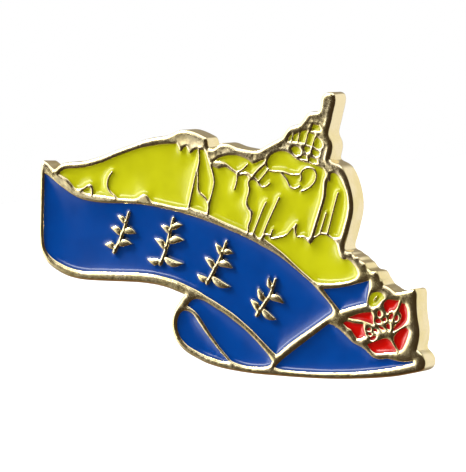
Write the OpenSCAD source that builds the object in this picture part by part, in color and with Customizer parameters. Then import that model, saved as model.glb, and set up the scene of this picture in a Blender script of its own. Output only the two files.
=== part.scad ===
// Soft-enamel lapel pin: a gold-plated die casting with raised lines, enamel in
// the hollows between them, and two posts with butterfly clutches on the back.
// The pin stands upright: the face looks along -Y, the flat back lies in the
// plane y = 0 and the posts point along +Y. X runs to the right and Z up.

/* [Badge] */
// Width of the face from tip to tip
badge_w = 40.2; // [34:0.1:50]
// Thickness from the back to the tops of the raised lines
badge_t = 2; // [1.6:0.05:3.5]
// Extra width of the rim outside the drawn outline
rim_out = 0.12; // [0:0.01:0.2]
// Depth of the hollows that hold the enamel
hollow_depth = 0.7; // [0.4:0.05:1.2]
// How far the enamel lies below the tops of the lines
enamel_drop = 0.22; // [0.1:0.01:0.35]
// Clearance drawn between the enamel and the walls round it
enamel_gap = 0.02; // [0.01:0.01:0.04]
// Width of the free-standing raised lines
line_w = 0.22; // [0.18:0.01:0.3]
// Width of the stem of a sprig at its foot
stem_w = 0.42; // [0.28:0.01:0.5]

/* [Posts] */
// Diameter of a post
post_d = 1.15; // [0.9:0.05:1.5]
// Length of a post from the back of the badge to its point
post_len = 8; // [6.5:0.1:10]
// Diameter of the flat head that is soldered to the back
post_head_d = 2.2; // [1.8:0.1:3]
// Thickness of that head
post_head_t = 0.3; // [0.2:0.05:0.5]

/* [Clutches] */
// Diameter of the clutch disc
clutch_d = 11.4; // [9:0.1:13.5]
// Thickness of the clutch sheet
sheet_t = 0.4; // [0.3:0.05:0.5]
// Room for the cloth between the badge and the disc
cloth_t = 1.5; // [1.3:0.1:2.5]
// Running clearance on the post, on the radius
post_fit = 0.05; // [0.03:0.01:0.1]
// Width of a wing at its tip
wing_w = 6; // [5:0.1:7]
// Length of a wing from its hinge to its tip
wing_len = 4.8; // [4:0.1:6]
// Diameter of the spring wire
wire_d = 0.6; // [0.4:0.05:0.7]

/* [Hidden] */

GOLD = [0.90, 0.78, 0.45];
BRASS = [0.80, 0.68, 0.36];
STEEL = [0.72, 0.72, 0.70];
BLUE = [0.00, 0.25, 0.62];
YELLOW = [0.82, 0.84, 0.08];
RED = [0.85, 0.04, 0.02];

// The artwork is drawn 40.2 mm wide and grows with the badge.
DRAWN_W = 40.2;
k = badge_w / DRAWN_W;
// Longest straight stretch that stands for a piece of a curve
STEP = 0.6;

// Where each post stands on the back, and how its clutch is turned
LEFT_POST = [-9 * k, 1 * k];
RIGHT_POST = [4 * k, -5 * k];
LEFT_TURN = 0;
RIGHT_TURN = 90;

hollow_floor = badge_t - hollow_depth;
enamel_t = hollow_depth - enamel_drop;

// ---------------------------------------------------------------- curves
// A curve is a list of [x, z] points; a third value of 1 makes a sharp corner.
function flat(p) = [p[0], p[1]];
function is_corner(p) = len(p) == 3;
function unit(v) = v / max(norm(v), 0.000001);

// One stretch from b to c of a smooth curve through a, b, c, d
function stretch(a, b, c, d) =
    let (
        chord = flat(c) - flat(b),
        n = max(1, ceil(norm(chord) / STEP)),
        m1 = is_corner(b) ? chord : unit(flat(c) - flat(a)) * norm(chord),
        m2 = is_corner(c) ? chord : unit(flat(d) - flat(b)) * norm(chord)
    )
    [for (i = [0:n - 1])
        let (t = i / n, t2 = t * t, t3 = t2 * t)
        (2 * t3 - 3 * t2 + 1) * flat(b) + (t3 - 2 * t2 + t) * m1
        + (3 * t2 - 2 * t3) * flat(c) + (t3 - t2) * m2];

// Closed smooth curve
function loop(p) =
    let (n = len(p))
    [for (i = [0:n - 1])
        each stretch(p[(i + n - 1) % n], p[i], p[(i + 1) % n], p[(i + 2) % n])] * k;

// Open smooth curve
function path(p) =
    let (n = len(p))
    concat(
        [for (i = [0:n - 2])
            each stretch(p[max(i - 1, 0)], p[i], p[i + 1], p[min(i + 2, n - 1)])],
        [flat(p[n - 1])]
    ) * k;

// Outline of a line of width w drawn along an open curve, with a rounded tip
// at its far end; w2 is its width there.
function line(p, w = line_w, w2 = 0) =
    let (
        c = path(p),
        n = len(c),
        end_w = w2 == 0 ? w : w2,
        along = [for (i = [0:n - 1]) unit(c[min(i + 1, n - 1)] - c[max(i - 1, 0)])],
        half = [for (i = [0:n - 1]) (w + (end_w - w) * i / (n - 1)) / 2],
        side = [for (a = along) [-a[1], a[0]]],
        tip = c[n - 1],
        r = half[n - 1]
    )
    concat(
        [for (i = [0:n - 1]) c[i] + side[i] * half[i]],
        [for (a = [45, 90, 135])
            tip + r * (cos(a) * side[n - 1] + sin(a) * along[n - 1])],
        [for (i = [n - 1:-1:0]) c[i] - side[i] * half[i]],
        [for (a = [135, 90, 45])
            c[0] + half[0] * (cos(a) * side[0] - sin(a) * along[0])]
    );

// Oval of half axes a and b, turned by angle t
function oval(x, z, a, b, t = 0) =
    [for (i = [0:11])
        [x + a * cos(30 * i) * cos(t) - b * sin(30 * i) * sin(t),
         z + a * cos(30 * i) * sin(t) + b * sin(30 * i) * cos(t)]] * k;

// A leaf from its foot at [x, z], of length l, greatest width w, turned to
// angle t and bent by the bow b
function leaf(x, z, l, w, t, b = 0.1) =
    let (
        s = [0, 0.15, 0.35, 0.55, 0.75, 0.9],
        top = [for (u = s) [u * l, b * l * sin(180 * u) + w / 2 * pow(sin(180 * pow(u, 0.8)), 0.8)]],
        low = [for (u = [0.9, 0.7, 0.45, 0.2])
            [u * l, b * l * sin(180 * u) - w / 2 * pow(sin(180 * pow(u, 0.8)), 0.8)]]
    )
    [for (p = concat(top, [[l, 0]], low))
        [x + p[0] * cos(t) - p[1] * sin(t), z + p[0] * sin(t) + p[1] * cos(t)]] * k;

// ---------------------------------------------------------------- artwork
OUTLINE = [
    // left end and the ridge of the long hill
    [-19.95, 4.4], [-19.92, 5.0], [-19.72, 5.28], [-19.4, 5.1], [-19, 4.78],
    [-18.6, 4.58], [-18.3, 4.68], [-18, 4.92], [-17.6, 5.12], [-17, 5.25],
    [-16, 5.33], [-15, 5.47], [-14, 5.72], [-13, 6.03], [-12, 6.4], [-11, 6.75],
    [-10, 7.07], [-9, 7.42], [-8, 7.7], [-7, 7.87], [-6.2, 7.98], [-5.7, 8.15],
    [-5.1, 8.43], [-4.5, 8.55], [-4, 8.55], [-3.3, 8.4], [-2.6, 8.15],
    // notch and saddle
    [-2.1, 7.95], [-1.98, 7.7], [-1.92, 7.35], [-1.8, 7.1], [-1.4, 7.03],
    [-1.05, 7.15], [-0.75, 7.38], [-0.4, 7.52], [0.2, 7.5], [1, 7.25], [2, 7.1],
    [3, 7.02], [3.5, 7.1], [4, 7.35], [5, 7.85], [5.6, 8.12], [5.95, 8.35],
    // roofs and the top of the tower
    [6.2, 8.65], [6.45, 8.98], [6.8, 9.2], [7.2, 9.32], [7.6, 9.45], [7.95, 9.7],
    [8.2, 10], [8.45, 10.32], [8.8, 10.5], [9.2, 10.55], [9.55, 10.6],
    [9.78, 10.78], [9.87, 11.1], [9.88, 11.5], [9.97, 11.85], [10.2, 12.08],
    [10.5, 12.2], [10.85, 12.2], [11.08, 12.05],
    // right side of the tower and of the cliff
    [11.1, 11.6], [10.97, 11.05], [10.82, 10.5], [10.7, 10], [10.55, 9.5],
    [10.42, 9.05], [10.42, 8.75], [10.55, 8.45], [10.75, 8.15], [10.82, 7.8],
    [10.75, 7.3], [10.62, 6.9], [10.55, 6.6], [10.75, 6.42], [11.1, 6.3],
    [11.5, 6.15], [11.85, 5.9], [12.15, 5.5], [12.4, 5.05], [12.6, 4.5],
    [12.78, 3.9], [12.9, 3.2], [12.92, 2.6], [12.85, 2], [12.72, 1.5],
    [12.55, 0.9], [12.4, 0.4], [12.25, -0.1], [12.1, -0.5], [12.05, -0.85],
    // steps above the flower
    [12.25, -1.15], [12.78, -1.26], [13.03, -1.5], [13.46, -1.64], [13.72, -1.94],
    [14.12, -2.12], [14.33, -2.46], [14.6, -2.68], [14.95, -2.75], [15.25, -2.72],
    [15.46, -2.94], [15.62, -3.28], [15.88, -3.54], [16.03, -3.88], [16.36, -3.99],
    [16.66, -4.14], [16.9, -4.3], [17.2, -4.42], [17.8, -4.33], [18.4, -4.2],
    [18.85, -4.08], [19.08, -4.03], [19.2, -4.25],
    // right end
    [19.2, -4.8], [19.22, -5.5], [19.3, -6.3], [19.45, -7], [19.5, -7.6],
    [19.42, -8.3], [19.28, -8.85], [19.28, -9.12], [19.55, -9.3], [19.85, -9.55],
    [20.05, -9.88], [20.07, -10.2], [19.97, -10.5], [19.7, -10.72], [19.2, -10.88],
    // bottom edge, from right to left
    [18.5, -11.05], [17.5, -11.28], [16.5, -11.45], [15, -11.65], [13, -11.85],
    [11, -12], [9, -12.08], [7, -12.12], [5, -12.13], [3, -12.12], [1.5, -12.05],
    [0, -11.92], [-1, -11.77], [-2, -11.55], [-3, -11.2], [-4, -10.78],
    [-4.7, -10.3], [-5.2, -9.7], [-5.5, -9], [-5.58, -8.3], [-5.45, -7.55],
    [-5.1, -6.9], [-4.6, -6.25], [-4.1, -5.75, 1], [-4.6, -5.58], [-5.2, -5.42],
    [-6, -5.2], [-7, -5.02], [-8, -4.92], [-9, -4.87], [-10, -4.87], [-12.5, -4.93],
    [-14, -4.96], [-15.2, -4.96], [-16.2, -4.88], [-17.2, -4.68], [-18.2, -4.3],
    [-19, -3.85], [-19.5, -3.35], [-19.85, -2.75], [-20.05, -2.1], [-20.13, -1.2],
    [-20.1, 0], [-20.05, 1.5], [-20, 3]
];

RIBBON = [
    [-19.6, 4.28, 1], [-19.2, 4.1], [-18.6, 3.72], [-18, 3.32], [-17.4, 2.98],
    [-16.8, 2.65], [-16.2, 2.38], [-15.6, 2.18], [-15, 2.05], [-14, 1.95],
    [-13, 1.9], [-12, 1.92], [-11, 1.96], [-10, 1.97], [-9, 1.95], [-8, 1.87],
    [-6, 1.62], [-4, 1.28], [-2, 0.83], [0, 0.26], [2, -0.38], [4, -1.17],
    [5, -1.6], [6, -2.12], [7, -2.75], [8, -3.42], [9, -4.12], [10, -5],
    [10.6, -5.55], [10.95, -5.95], [11.05, -6.2], [10.95, -6.45], [10.5, -6.78],
    [9, -7.78], [7, -9.1], [6.2, -9.7], [5.6, -10.2], [5.3, -10.38], [5, -10.2],
    [4, -9.4], [3, -8.6], [2, -7.88], [1, -7.22], [0, -6.68], [-1, -6.2],
    [-2, -5.75], [-3, -5.3], [-4, -4.95], [-5, -4.62], [-6, -4.4], [-7, -4.25],
    [-8, -4.15], [-9, -4.12], [-10, -4.13], [-12, -4.2], [-14, -4.28],
    [-15, -4.3], [-16, -4.22], [-17, -4.02], [-18, -3.68], [-18.8, -3.28],
    [-19.3, -2.85], [-19.6, -2.35], [-19.72, -1.7], [-19.75, -1], [-19.72, 0.5],
    [-19.68, 2], [-19.62, 3.5]
];

FOLD_FRONT = [
    [-4, -6.72, 1], [-3.6, -6.3], [-3.1, -6.1], [-2.5, -6.14], [-2, -6.3],
    [-1, -6.78], [0, -7.24], [1, -7.83], [2, -8.45], [3, -9.2], [4, -10.05],
    [4.6, -10.65], [4.85, -11], [4.7, -11.32], [4.3, -11.5], [3.5, -11.6],
    [2.5, -11.62], [1.5, -11.5], [0.62, -11.24], [0.3, -10.95], [-0.5, -10.2],
    [-1.5, -9.1], [-2.3, -8.1], [-2.8, -7.5], [-3.3, -7.08]
];

FOLD_BACK = [
    [-4.3, -7.2], [-3.8, -7.27], [-3.3, -7.57], [-2.9, -8.05], [-2.3, -8.75],
    [-1.6, -9.5], [-0.8, -10.3], [0, -11.02], [0.4, -11.36, 1], [-0.3, -11.34],
    [-1, -11.22], [-2, -11], [-3, -10.65], [-4, -10.2], [-4.7, -9.6],
    [-5.05, -8.9], [-5.1, -8.3], [-4.95, -7.75], [-4.65, -7.35]
];

TAIL = [
    [5.15, -11.5, 1], [6, -10.76], [7, -10.02], [8, -9.3], [9, -8.58], [10, -7.88],
    [10.4, -7.58], [10.7, -7.42], [11.1, -7.5], [11.5, -7.7], [12, -8.02],
    [12.5, -8.4], [13, -8.8], [13.5, -9.03], [14, -9.2], [14.5, -9.55],
    [15, -9.93], [15.5, -10.08], [16, -10.08], [16.5, -10], [17, -10.04],
    [17.6, -10.15], [18.2, -10.15], [19.05, -10.02, 1], [19.02, -10.16, 1],
    [18.5, -10.34], [18, -10.48], [17, -10.73], [16, -10.93], [15, -11.1],
    [13.5, -11.32], [12, -11.48], [10, -11.62], [8, -11.68], [6, -11.66]
];

GAP = [
    [10.12, -4.45, 1], [11, -4.36], [12, -4.2], [13, -3.95], [14, -3.67],
    [14.66, -3.48, 1], [14.66, -4], [14.55, -4.7], [14.42, -5.42, 1], [13.5, -5.66],
    [12.5, -5.95], [11.8, -6.18, 1], [11.3, -5.7], [10.75, -5.15]
];

HILL = [
    [-17.95, 4.28, 1], [-17.75, 4.5], [-17.4, 4.68], [-17, 4.77], [-16, 4.87],
    [-15, 5], [-14, 5.25], [-13, 5.55], [-12, 5.93], [-11, 6.3], [-10, 6.62],
    [-9, 6.9], [-8, 7.12], [-7, 7.27], [-6, 7.37], [-5.15, 7.42, 1], [-4.98, 7.2],
    [-4.85, 6.9], [-4.68, 6.78], [-4.5, 6.9], [-4.35, 7.12], [-4.1, 7.2, 1],
    [-3.95, 6.95], [-3.78, 6.7], [-3.6, 6.62], [-3.4, 6.78], [-3.15, 6.95],
    [-2.88, 7, 1], [-2.84, 6.5], [-2.84, 6.1], [-2.95, 5.6], [-3.12, 5.1],
    [-3.3, 4.5], [-3.5, 3.8], [-3.75, 2.9], [-3.95, 2.15], [-4.05, 1.88, 1],
    [-5, 1.92], [-6, 2.05], [-7, 2.2], [-7.75, 2.3], [-8.02, 2.48], [-8.3, 2.78],
    [-8.62, 2.88], [-9, 2.78], [-9.3, 2.58], [-9.65, 2.43], [-10.5, 2.4],
    [-11.5, 2.43], [-12.5, 2.53], [-13.4, 2.6], [-14.15, 2.6, 1], [-14.18, 3.15],
    [-14.3, 3.45], [-14.55, 3.56], [-14.9, 3.45], [-15.2, 3.24], [-15.6, 3.1],
    [-15.95, 3.06], [-16.25, 3.16], [-16.6, 3.5], [-17, 3.86], [-17.5, 4.1]
];
HILL_LINES = [
    [[-11.5, 2.3], [-11.85, 2.58], [-12.25, 2.86], [-12.52, 3.15], [-12.63, 3.5],
     [-12.58, 3.95], [-12.4, 4.35], [-12.12, 4.66]]
];

CHIP = [
    [-15.35, 2.86, 1], [-15, 3.1], [-14.72, 3.22], [-14.5, 3.15], [-14.45, 2.9],
    [-14.48, 2.66, 1], [-14.95, 2.72]
];

WEDGE = [
    [-3.02, 5.05, 1], [-2.95, 4.6], [-2.96, 4], [-2.94, 3.5], [-2.8, 3.15],
    [-2.5, 2.93], [-2.2, 2.72], [-1.98, 2.42], [-1.9, 2.05], [-1.98, 1.56, 1],
    [-2.6, 1.7], [-3.2, 1.83], [-3.7, 1.95, 1], [-3.56, 2.5], [-3.36, 3.3],
    [-3.16, 4.2]
];

LEAF = [
    [-2.66, 6.95, 1], [-2.25, 7, 1], [-2.02, 6.6], [-1.8, 6], [-1.6, 5.5],
    [-1.4, 4.9], [-1.28, 4.4], [-1.29, 4.1], [-1.4, 3.6], [-1.6, 3],
    [-1.8, 2.58, 1], [-2, 2.86], [-2.3, 3.12], [-2.6, 3.33], [-2.74, 3.65],
    [-2.76, 4.3], [-2.74, 5.2], [-2.62, 5.9], [-2.62, 6.4]
];

BLOCK = [
    [-1.35, 5.58, 1], [-0.95, 5.47], [-0.65, 5.4], [-0.3, 5.52], [0.05, 5.55],
    [0.5, 5.33], [0.9, 5.12], [1.1, 4.98], [1.4, 4.82], [1.75, 4.9], [2.05, 4.93],
    [2.3, 4.85], [2.42, 4.65, 1], [2.29, 4.4], [2.3, 4.1], [2.37, 3.8], [2.33, 3.5],
    [2.2, 3.1], [2.08, 2.65], [2.13, 2.3], [2.33, 2], [2.5, 1.8], [2.56, 1.5],
    [2.5, 1.1], [2.35, 0.85], [2.27, 0.5], [2.25, 0.12, 1], [1.7, 0.28], [1, 0.5],
    [0, 0.8], [-1, 1.13], [-1.66, 1.36, 1], [-1.63, 1.8], [-1.5, 2.5], [-1.3, 3.2],
    [-1.1, 3.95], [-1.06, 4.3], [-1.15, 4.9]
];
BLOCK_LINES = [[[1.25, 5], [1.22, 4.5], [1.12, 4.1], [0.98, 3.72]]];

SADDLE = [
    [-1.15, 6.08, 1], [-0.7, 6.32], [0, 6.55], [0.6, 6.62], [1.2, 6.62],
    [1.8, 6.48], [2.2, 6.36], [2.5, 6.2], [2.86, 5.98, 1], [3.15, 6.02],
    [3.5, 6.18], [4.1, 6.36, 1], [3.95, 6.12], [3.5, 5.78], [3.05, 5.37],
    [2.78, 5.08, 1], [2.55, 5.14], [2.3, 5.27], [2, 5.26], [1.62, 5.16, 1],
    [1.35, 5.3], [1.05, 5.38], [0.7, 5.56], [0.3, 5.82], [0, 5.98], [-0.5, 6.1]
];
SADDLE_LINES = [[[1.3, 5.2], [1.72, 5.4], [2.02, 5.63], [2.3, 5.88]]];

FACET = [
    [3.08, 4.88, 1], [3.22, 5.06], [3.65, 5.45], [4.15, 5.86, 1], [4.3, 5.78],
    [4.32, 5.56], [4.04, 5.24], [3.7, 4.86], [3.42, 4.62, 1]
];

ROCK = [
    [4.42, 5.5, 1], [4.4, 5.85], [4.4, 6.2], [4.6, 6.6], [5, 6.92], [5.5, 7.1],
    [6, 7.15], [6.5, 7.05], [6.85, 6.85], [7.15, 6.62], [7.6, 6.42], [8.2, 6.3],
    [8.8, 6.18], [9.4, 6.03], [9.9, 5.88], [10.15, 5.65], [10.22, 5.3],
    [10.05, 4.9], [9.98, 4.4], [9.95, 3.9], [9.88, 3.4], [9.75, 2.9], [9.5, 2.2],
    [9.2, 1.4], [8.95, 0.7], [8.75, 0.15], [8.6, -0.08], [8.45, -0.13],
    [8.3, -0.02], [8.1, 0.05], [7.7, 0], [7.42, 0, 1], [7.36, 0.35], [7.45, 0.75],
    [7.42, 1.03], [7.25, 1.02], [7, 0.78], [6.7, 0.45], [6.45, 0.18], [6.1, 0.02],
    [5.5, -0.15], [5, -0.25], [4.82, -0.28, 1], [4.7, 0], [4.45, 0.04],
    [4.12, 0.03, 1], [3.85, 0.05, 1], [3.75, -0.18], [3.55, -0.33], [3.3, -0.28],
    [3.12, -0.1], [2.98, 0.05, 1], [2.8, 0.02], [2.52, 0.02, 1], [2.5, 0.4],
    [2.6, 0.75], [2.75, 1], [2.82, 1.4], [2.95, 1.8, 1], [2.62, 2.14],
    [2.4, 2.45], [2.36, 2.8], [2.45, 3.1], [2.6, 3.5], [2.65, 3.8], [2.56, 4.1],
    [2.54, 4.38], [2.7, 4.53], [3, 4.56], [3.25, 4.42], [3.5, 4.5, 1],
    [3.95, 5.02, 1]
];
ROCK_LINES = [
    // edge of the cap, which runs on as a loop
    [[4.3, 5.5], [5, 5.41], [5.6, 5.43], [6.1, 5.38], [6.5, 5.26], [7, 5.2],
     [7.5, 5.22], [7.76, 5.32], [7.95, 5.6], [8.3, 5.82], [8.7, 5.87], [9.05, 5.78],
     [9.3, 5.5], [9.37, 5.15], [9.2, 4.7], [8.85, 4.3], [8.35, 4], [7.88, 3.83]],
    // lower lip of the cap
    [[5.7, 5.4], [6.1, 5.02], [6.4, 4.7], [6.6, 4.3], [6.85, 4.08], [7.15, 4.01],
     [7.45, 4.1], [7.66, 4.22]],
    [[7.8, 5.35], [7.86, 5], [7.76, 4.7]],
    // left shoulder and its hook
    [[4.5, 5.58], [4, 5.04], [3.6, 4.62], [3.4, 4.42]],
    [[3.35, 4.5], [3.55, 4.22], [3.88, 4], [4.25, 4.1], [4.58, 4.34]],
    // slopes below
    [[2.92, -0.05], [3.2, 0.55], [3.52, 1.25], [3.9, 2.1], [4.22, 2.68]],
    [[3.98, -0.05], [4.2, 0.5], [4.62, 1.35], [5.1, 2.25], [5.58, 3.15]],
    [[4.74, -0.12], [4.8, 0.1], [4.93, 0.36]]
];

CLIFF = [
    [10.7, 5.2], [10.85, 5.42], [11.12, 5.48], [11.45, 5.35], [11.75, 5],
    [12.05, 4.5], [12.3, 4], [12.44, 3.4], [12.47, 2.8], [12.38, 2.2], [12.2, 1.5],
    [12, 0.9], [11.85, 0.45], [11.7, 0.14], [11.45, 0.03], [11, 0.06],
    [10.75, 0.2], [10.5, 0.38], [10, 0.42], [9.85, 0.43], [9.62, 0.33],
    [9.4, 0.15], [9.2, 0.05, 1], [9.35, 0.5], [9.6, 1.2], [9.86, 2], [10.1, 2.7],
    [10.28, 3.2], [10.4, 3.6], [10.4, 4], [10.48, 4.5], [10.6, 4.9]
];
CLIFF_LINES = [
    [[10.48, 0.25], [10.65, 0.8], [10.85, 1.5], [11.1, 2.4], [11.35, 3.2], [11.55, 3.8]],
    [[9.76, 0.35], [10, 1], [10.2, 1.6], [10.36, 2.03]],
    [[10.72, 5.5], [10.72, 5.1], [10.68, 4.85]]
];

FOOT = [
    [4.05, -0.4, 1], [4.2, -0.2], [4.5, -0.22], [4.75, -0.5], [5.5, -0.4],
    [6.1, -0.22], [6.5, 0.02], [6.8, 0.36], [7.02, 0.6], [7.14, 0.4], [7.17, 0.1],
    [7.28, -0.14], [7.7, -0.2], [8.05, -0.17], [8.3, -0.34], [8.55, -0.56],
    [8.75, -0.7, 1], [8.95, -0.55], [9.2, -0.25], [9.5, -0.02], [9.9, 0.14],
    [10.4, 0.12], [10.85, -0.08], [11.2, -0.3], [11.42, -0.6], [11.52, -1],
    [11.65, -1.4], [11.9, -1.75], [12.15, -1.85], [12.45, -1.77], [12.75, -1.9],
    [13.1, -2.2], [13.38, -2.55], [13.5, -2.95], [13.3, -3.3], [12.8, -3.55],
    [12, -3.75], [11, -3.88], [10, -3.92], [9.35, -3.87], [9, -3.72], [8, -3.05],
    [7, -2.32], [6, -1.58], [5, -0.95], [4.4, -0.62]
];

WINDOWS = [
    [[8.86, 9.02, 1], [9.08, 9.55, 1], [9.62, 9.46], [9.75, 9.2], [9.6, 9.06, 1]],
    [[6.5, 8.1, 1], [6.66, 8.45], [6.92, 8.68, 1], [6.84, 8.3], [6.72, 8.08, 1]],
    [[6.94, 8.08, 1], [7.08, 8.6], [7.55, 8.76, 1], [7.48, 8.4], [7.38, 8.06, 1]],
    [[7.62, 8.04, 1], [7.84, 8.9], [8.45, 9, 1], [8.3, 8.45], [8.16, 8, 1]],
    [[8.36, 7.86, 1], [8.62, 8.82, 1], [9.18, 8.68, 1], [9.02, 8.2], [8.86, 7.76, 1]],
    [[9.1, 7.72, 1], [9.22, 8.2], [9.45, 8.47], [9.82, 8.15], [9.93, 7.78], [9.7, 7.52],
     [9.38, 7.56]],
    [[6.82, 7.42], [7.08, 7.6], [7.5, 7.56], [7.78, 7.3], [7.72, 7], [7.4, 6.9],
     [7.05, 7.05]],
    [[8.14, 7.56], [8.34, 7.66], [8.76, 7.54, 1], [8.66, 7.26], [8.4, 7.16], [8.2, 7.3]],
    [[8.94, 7.26], [9.12, 7.42], [9.66, 7.2, 1], [9.58, 6.96], [9.32, 6.86], [9.06, 6.98]],
    [[7.72, 6.62, 1], [8, 6.84], [8.3, 6.8], [8.38, 6.58, 1]],
    [[8.66, 6.42, 1], [8.74, 6.72, 1], [9.38, 6.54], [9.44, 6.32, 1], [9, 6.3]]
];

RING = [
    [14.62, -5.35], [14.72, -4.95], [14.92, -4.6], [15.25, -4.45], [15.75, -4.42],
    [16, -4.55], [16.18, -4.85, 1], [15.85, -5.12], [15.6, -5.36], [15.3, -5.6],
    [15, -5.66], [14.72, -5.58]
];

PETAL_TOP = [
    [16.2, -5.25], [16.45, -5.03], [17, -4.99], [17.62, -5.02, 1], [17.5, -5.4],
    [17.3, -5.72], [17.05, -5.87], [16.75, -5.92], [16.52, -6.15, 1], [16.26, -5.85],
    [16.15, -5.55]
];
PETAL_RIGHT = [
    [17.92, -5.2, 1], [18.2, -5.27], [18.38, -5.6], [18.46, -6.15], [18.4, -6.6],
    [18.1, -7], [17.6, -7.36], [17.12, -7.62, 1], [17.12, -7.3], [17.5, -6.95],
    [17.84, -6.55], [17.9, -6.2], [17.65, -5.9], [17.78, -5.5]
];
PETAL_LOW_RIGHT = [
    [17.15, -8.1], [17.5, -7.7], [17.9, -7.42], [18.38, -7.27], [18.6, -7.5],
    [18.5, -7.9], [18.22, -8.6], [17.95, -9.05], [17.7, -9.24, 1], [17.48, -9],
    [17.2, -8.5]
];
PETAL_BOTTOM = [
    [14.52, -8.93, 1], [14.95, -8.75], [15.5, -8.58], [16, -8.36], [16.45, -8.3],
    [16.78, -8.46], [17.1, -8.85], [17.4, -9.22], [17.28, -9.36], [16.5, -9.45],
    [15.8, -9.55], [15.3, -9.56], [14.9, -9.35]
];
PETAL_LOW_LEFT = [
    [12.1, -7.25], [12.4, -7.1], [13.2, -7.2], [14.12, -7.24, 1], [14.18, -7.7],
    [14.38, -8.22, 1], [14.08, -8.3], [13.82, -8.44], [13.5, -8.45], [13.2, -8.12],
    [12.9, -7.74], [12.5, -7.57]
];
PETAL_LEFT = [
    [12.65, -6.75, 1], [13.5, -6.42], [14.3, -6.22], [14.88, -6.17], [15.02, -6.4],
    [15.1, -7.15, 1], [14.5, -7], [13.8, -6.86], [13.2, -6.82]
];

// Seeds of the flower: [x, z, half length, half width, angle]
SEEDS = [
    [15.7, -6.22, 0.26, 0.2, 100], [15.6, -6.86, 0.3, 0.18, 0], [16.22, -6.7, 0.2, 0.14, 30],
    [16.86, -6.4, 0.32, 0.17, 55], [17.4, -6.5, 0.24, 0.17, 60], [16.6, -7.25, 0.26, 0.18, 110],
    [15.92, -7.42, 0.3, 0.09, -20], [14.68, -7.62, 0.2, 0.11, 10], [15.32, -7.66, 0.2, 0.11, -10],
    [14.78, -8.02, 0.2, 0.11, -15], [15.1, -8.33, 0.32, 0.15, 25]
];

// Raised sprigs on the ribbon: a stem, then leaves as [x, z, length, width, angle, bow]
SPRIGS = [
    [
        [[-11.9, -2.4], [-11.2, -1.2], [-10.7, 0], [-10.3, 1.2]],
        [[-11.75, -2.1, 1.25, 0.62, 165, -0.1], [-11.55, -1.75, 1.6, 0.65, 5, 0.1],
         [-11.1, -0.9, 1.35, 0.62, 150, -0.12], [-10.95, -0.55, 1.45, 0.62, -5, 0.12],
         [-10.7, 0.15, 1.1, 0.53, 140, -0.12]]
    ],
    [
        [[-6.9, -3.2], [-6.3, -1.9], [-5.9, -0.5], [-5.5, 0.9]],
        [[-6.8, -2.95, 1.5, 0.62, 175, 0.12], [-6.6, -2.6, 2.2, 0.69, -12, -0.12],
         [-6.35, -1.95, 1.5, 0.62, 140, -0.12], [-6.1, -1.3, 1.75, 0.69, 10, 0.1],
         [-5.85, -0.5, 1.2, 0.56, 145, -0.12], [-5.75, -0.1, 1.3, 0.56, 20, 0.1]]
    ],
    [
        [[-1.9, -4.6], [-1.2, -3.5], [-0.5, -2.3], [0.1, -0.9]],
        [[-1.75, -4.35, 1.3, 0.6, 160, 0.12], [-1.5, -4, 2.2, 0.69, -22, -0.1],
         [-1.15, -3.4, 1.45, 0.62, 135, -0.1], [-0.85, -2.9, 1.7, 0.65, -10, 0.12],
         [-0.45, -2.15, 1.2, 0.56, 120, -0.1], [-0.3, -1.9, 1.15, 0.53, 0, 0.12]]
    ],
    [
        [[3.3, -7.1], [4, -6.2], [4.7, -5.2], [5.2, -3.9]],
        [[3.5, -6.85, 1.35, 0.62, 130, -0.1], [3.75, -6.5, 1.8, 0.65, -30, -0.1],
         [4.2, -5.9, 1.4, 0.62, 125, 0.1], [4.45, -5.5, 1.75, 0.65, -15, 0.12],
         [4.85, -4.8, 1.1, 0.53, 110, 0.1]]
    ]
];

// ---------------------------------------------------------------- hollows
// A hollow is a closed curve less the raised lines that run into it.
module hollow(p, lines = []) {
    offset(delta = 0) difference() {
        polygon(loop(p));
        for (l = lines) polygon(line(l));
    }
}

module ribbon_hollow() {
    offset(delta = 0) difference() {
        polygon(loop(RIBBON));
        for (s = SPRIGS) {
            polygon(line(s[0], stem_w, stem_w * 0.6));
            for (f = s[1]) polygon(leaf(f[0], f[1], f[2], f[3], f[4], f[5]));
        }
    }
}

module ring_hollow() {
    offset(delta = 0) difference() {
        polygon(loop(RING));
        polygon(oval(15.3, -4.96, 0.28, 0.08, 55));
    }
}

module window_hollows() {
    for (w = WINDOWS) hollow(w);
}

module seed_hollows() {
    offset(delta = 0) for (s = SEEDS) polygon(oval(s[0], s[1], s[2], s[3], s[4]));
}

// Lifts a flat drawing onto the upright pin, from depth y0 forward by h
module upright(y0, h) {
    translate([0, -y0, 0]) rotate([90, 0, 0]) linear_extrude(h) children();
}

module all_hollows() {
    offset(delta = 0) union() {
        ribbon_hollow();
        for (p = [FOLD_FRONT, FOLD_BACK, TAIL, GAP, CHIP, WEDGE, LEAF, FACET, FOOT,
                  PETAL_TOP, PETAL_RIGHT, PETAL_LOW_RIGHT, PETAL_BOTTOM,
                  PETAL_LOW_LEFT, PETAL_LEFT]) hollow(p);
        hollow(HILL, HILL_LINES);
        hollow(BLOCK, BLOCK_LINES);
        hollow(SADDLE, SADDLE_LINES);
        hollow(ROCK, ROCK_LINES);
        hollow(CLIFF, CLIFF_LINES);
        window_hollows();
        ring_hollow();
        seed_hollows();
    }
}

// ---------------------------------------------------------------- face
module badge_body() {
    color(GOLD) difference() {
        upright(0, badge_t) offset(delta = rim_out) polygon(loop(OUTLINE));
        upright(hollow_floor, hollow_depth + 1) all_hollows();
    }
}

// Enamel that fills the hollow given as its child
module enamel(paint) {
    color(paint) upright(hollow_floor, enamel_t) offset(delta = -enamel_gap) children();
}

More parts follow.
